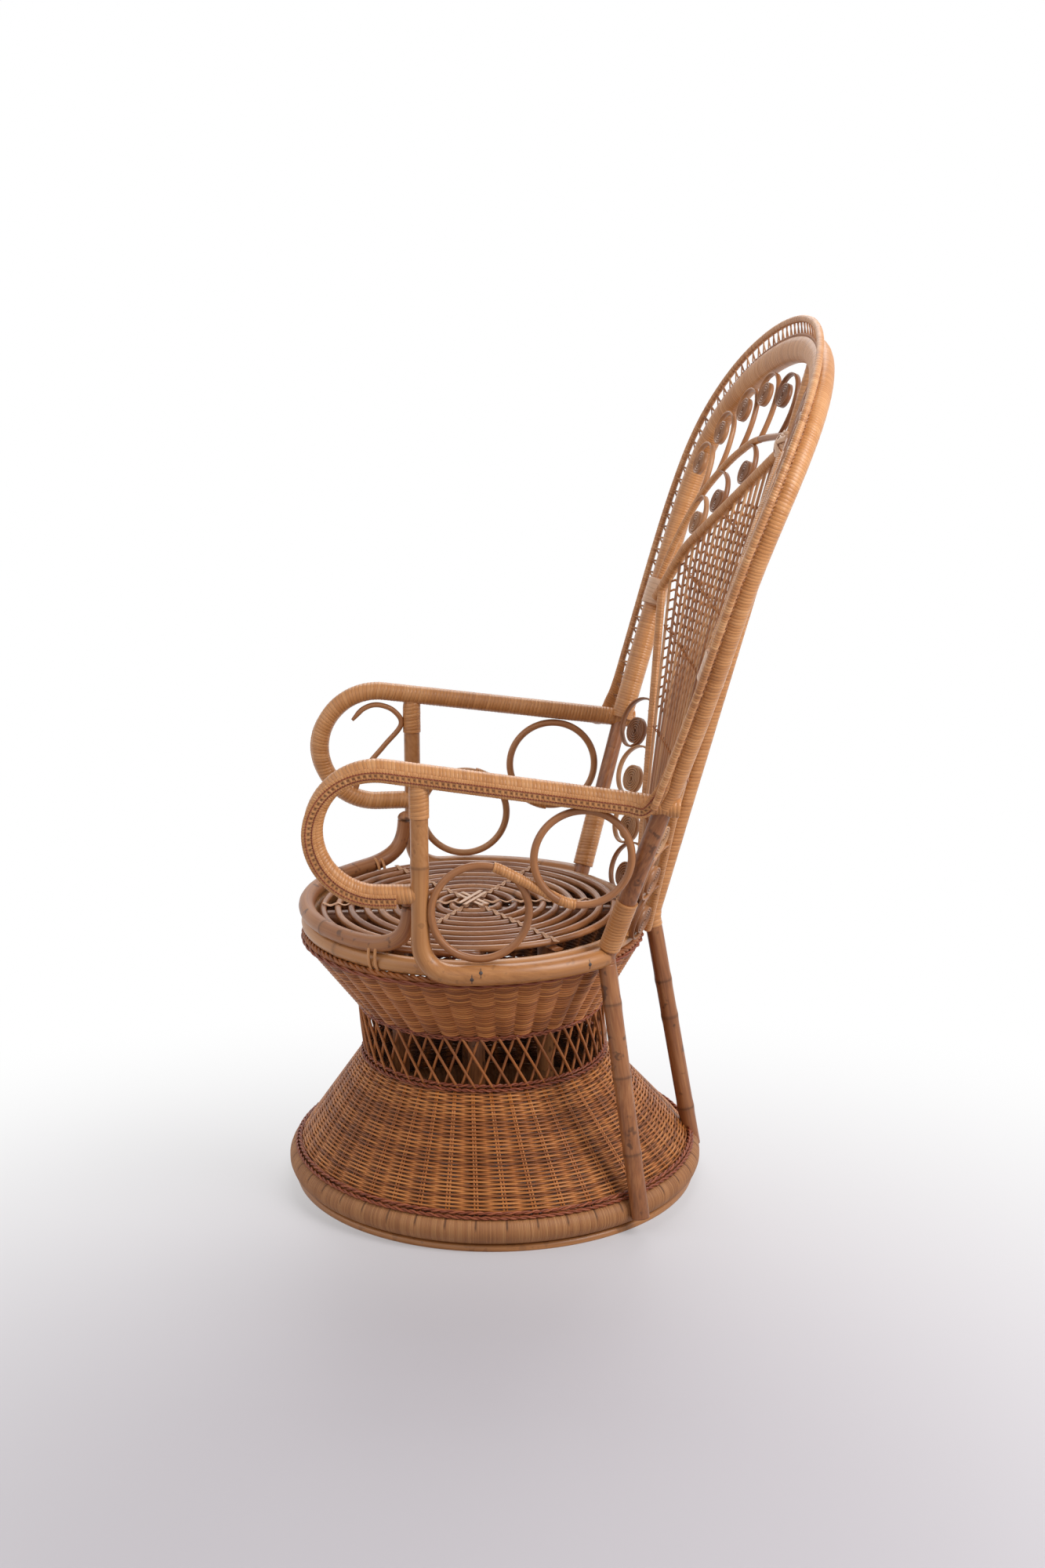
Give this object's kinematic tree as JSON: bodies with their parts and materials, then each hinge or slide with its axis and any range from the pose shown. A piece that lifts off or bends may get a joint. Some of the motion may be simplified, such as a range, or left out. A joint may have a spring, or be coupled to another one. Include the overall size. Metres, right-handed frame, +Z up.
{
  "type": "rattan peacock chair",
  "caption": "Woven cane armchair with a waisted round pedestal, coiled round seat, looped arms and a tall dished back with a cane fan, spiral curls and a lacy edge.",
  "frame": {"origin": "on the floor under the middle of the whole chair's box", "axes": "+Z up; the sitter faces -Y; +X is the sitter's left"},
  "size_m": [0.7572, 0.7484, 1.2237],
  "materials": {
    "weave": "woven cane, satin varnish",
    "wrap": "wound flat cane, satin varnish",
    "bamboo": "bare rattan poles with dark nodes, satin varnish",
    "dyed": "red-brown twisted cane, satin varnish"
  },
  "bodies": {
    "root": {"floor_hoop": "bamboo", "base_ring": "wrap", "base_wale": "dyed", "skirt": "weave", "neck_lattice": "dyed", "bowl": "weave", "bowl_border": "weave", "inner_post_front": "bamboo", "inner_post_rear": "bamboo", "inner_post_left": "bamboo", "inner_post_right": "bamboo", "seat_hoop": "bamboo", "front_cane": "bamboo", "seat_rail_long": "bamboo", "seat_rail_cross": "bamboo", "seat_coil": "bamboo", "seat_lashing": "weave", "side_rail_left": "bamboo", "side_rail_right": "bamboo", "arm_left": "wrap", "arm_right": "wrap", "arm_trim_left": "weave", "arm_trim_right": "weave", "arm_scroll_left": "bamboo", "arm_scroll_right": "bamboo", "rear_pole_left": "bamboo", "rear_pole_right": "bamboo", "pole_wrap_left": "wrap", "pole_wrap_right": "wrap", "loop_hook_right": "bamboo", "back_hoop": "wrap", "trim_lace": "weave", "spine": "wrap", "fan_chevron": "wrap", "fan_panel": "weave", "fan_knot": "wrap", "fan_side_left": "wrap", "fan_side_right": "wrap", "branch_left": "wrap", "branch_right": "wrap", "side_curls_left": "bamboo", "side_curls_right": "bamboo", "top_curl_left_1": "bamboo", "top_curl_left_2": "bamboo", "top_curl_left_3": "bamboo", "top_curl_left_4": "bamboo", "top_curl_left_5": "bamboo", "top_curl_right_1": "bamboo", "top_curl_right_2": "bamboo", "top_curl_right_3": "bamboo", "top_curl_right_4": "bamboo", "top_curl_right_5": "bamboo", "low_curl_left_1": "bamboo", "low_curl_left_2": "bamboo", "low_curl_left_3": "bamboo", "low_curl_right_1": "bamboo", "low_curl_right_2": "bamboo", "low_curl_right_3": "bamboo"}
  },
  "joints": []
}
